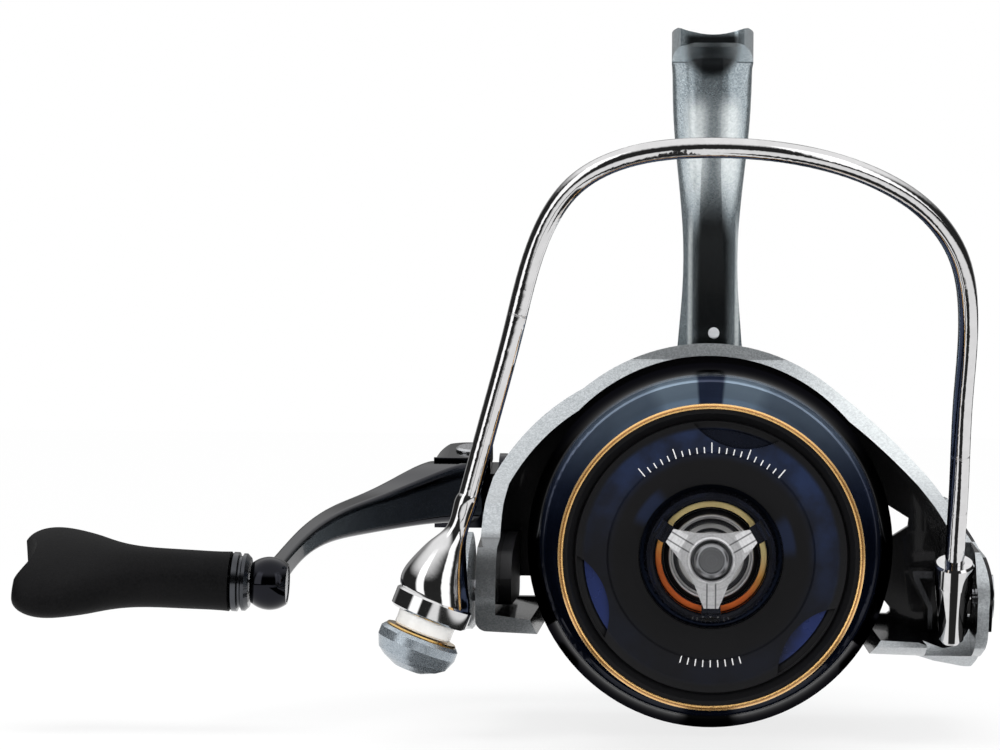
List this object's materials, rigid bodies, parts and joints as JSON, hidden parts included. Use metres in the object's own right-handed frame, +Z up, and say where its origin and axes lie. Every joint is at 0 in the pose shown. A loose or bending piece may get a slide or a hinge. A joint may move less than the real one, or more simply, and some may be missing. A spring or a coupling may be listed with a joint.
{
  "type": "spinning reel",
  "caption": "Long-cast spinning reel: foot and stem over a gear body, cranked handle with T knob, rotor with a wire bail and line roller, deep-skirted spool with front drag.",
  "frame": {"origin": "middle of the bottom of the rod foot's saddle, where the foot meets the rod", "axes": "+Z up out of the saddle towards the rod, +Y backward along the rod and the spool's axis, +X to the right as seen from the front; the spool faces -Y and the handle is on -X"},
  "size_m": [0.2089, 0.1956, 0.1521],
  "materials": {
    "navy_anodised": "polished anodised",
    "gold_anodised": "polished anodised",
    "front_navy": "satin",
    "knob_dark": "gloss",
    "spider_metal": "satin",
    "steel": "satin",
    "spring_steel": "satin",
    "chrome": "polished",
    "washer_felt": "plain",
    "clip_plastic": "gloss",
    "inner_plastic": "matt",
    "gunmetal": "metallic satin",
    "rotor_black": "satin",
    "arm_metal": "gloss",
    "bush_gold": "polished",
    "roller_ceramic": "gloss",
    "gear_bronze": "machined",
    "grip_rubber": "matt"
  },
  "bodies": {
    "reel_body": {"body_frame": "gunmetal", "side_cover": "gunmetal", "rear_guard": "rotor_black", "side_cap": "arm_metal", "crank_bearings": "steel", "pinion_bearings": "steel", "one_way_clutch": "steel", "clutch_retainer": "steel", "cover_screws": "steel", "stem_screw": "steel", "guide_rod": "steel"},
    "main_shaft": {"main_shaft": "steel", "click_gear": "inner_plastic", "spool_support": "inner_plastic", "slider_block": "gear_bronze"},
    "spool": {"spool_body": "navy_anodised", "lip_ring": "gold_anodised", "front_plate": "front_navy", "drag_washers": "washer_felt", "drag_retainer": "spring_steel", "spool_bearings": "steel", "line_clip": "clip_plastic"},
    "drag_knob": {"drag_knob_cap": "knob_dark", "drag_ring": "gold_anodised", "drag_spider": "spider_metal", "drag_button": "chrome", "drag_nut": "gear_bronze", "drag_spring": "spring_steel"},
    "rotor": {"rotor_frame": "gunmetal", "rotor_nut": "steel", "left_arm_cover": "rotor_black", "right_arm_cover": "gunmetal", "bail_trip_lever": "steel", "bail_pivot_screws": "steel", "bail_spring": "spring_steel", "pinion_gear": "gear_bronze", "clutch_sleeve": "steel"},
    "bail": {"bail_arm": "gunmetal", "bail_horn": "chrome", "bail_wire": "chrome", "wire_ferrule": "chrome", "bail_holder": "chrome", "roller_bearing": "steel", "roller_bush": "bush_gold", "roller_cap": "gunmetal"},
    "line_roller": {"line_roller": "roller_ceramic"},
    "crank": {"gear_shaft": "steel", "drive_gear": "steel", "shaft_collar": "chrome", "crank_shank": "arm_metal", "hinge_block": "arm_metal", "fold_pin": "steel", "handle_arm": "arm_metal", "knob_axle": "steel"},
    "handle_knob": {"knob_grip": "grip_rubber", "knob_collar": "arm_metal", "knob_bearings": "steel", "knob_end_cap": "inner_plastic"},
    "worm": {"worm_shaft": "steel"}
  },
  "joints": [
    {"name": "crank_turn", "type": "hinge", "parent": "reel_body", "child": "crank", "pos_m": [-0.03, 0.02937, -0.101], "axis": [1, 0, 0], "continuous": true},
    {"name": "knob_spin", "type": "hinge", "parent": "crank", "child": "handle_knob", "pos_m": [-0.115, -0.05345, -0.11928], "axis": [0.9992, 0, -0.041], "continuous": true},
    {"name": "rotor_spin", "type": "hinge", "parent": "reel_body", "child": "rotor", "pos_m": [0, 0, -0.111], "axis": [0, 1, 0], "continuous": true},
    {"name": "worm_spin", "type": "hinge", "parent": "reel_body", "child": "worm", "pos_m": [-0.00796, 0.03, -0.11896], "axis": [0, 1, 0], "continuous": true},
    {"name": "spool_stroke", "type": "slide", "parent": "reel_body", "child": "main_shaft", "axis": [0, -1, 0], "range_m": [0, 0.045]},
    {"name": "spool_slip", "type": "hinge", "parent": "main_shaft", "child": "spool", "pos_m": [0, -0.08, -0.111], "axis": [0, 1, 0], "continuous": true},
    {"name": "drag_knob_turn", "type": "hinge", "parent": "main_shaft", "child": "drag_knob", "pos_m": [0, -0.11, -0.111], "axis": [0, 1, 0], "range_deg": [-360, 360]},
    {"name": "bail_flip", "type": "hinge", "parent": "rotor", "child": "bail", "pos_m": [0, -0.057, -0.121], "axis": [1, 0, 0], "range_deg": [0, 110]},
    {"name": "roller_spin", "type": "hinge", "parent": "bail", "child": "line_roller", "pos_m": [-0.0573, -0.102, -0.1251], "axis": [0.3584, 0, 0.9336], "continuous": true}
  ],
  "couplings": [
    {"joint": "rotor_spin", "follows": "crank_turn", "ratio": 4.0833},
    {"joint": "worm_spin", "follows": "crank_turn", "ratio": -2.7222}
  ]
}
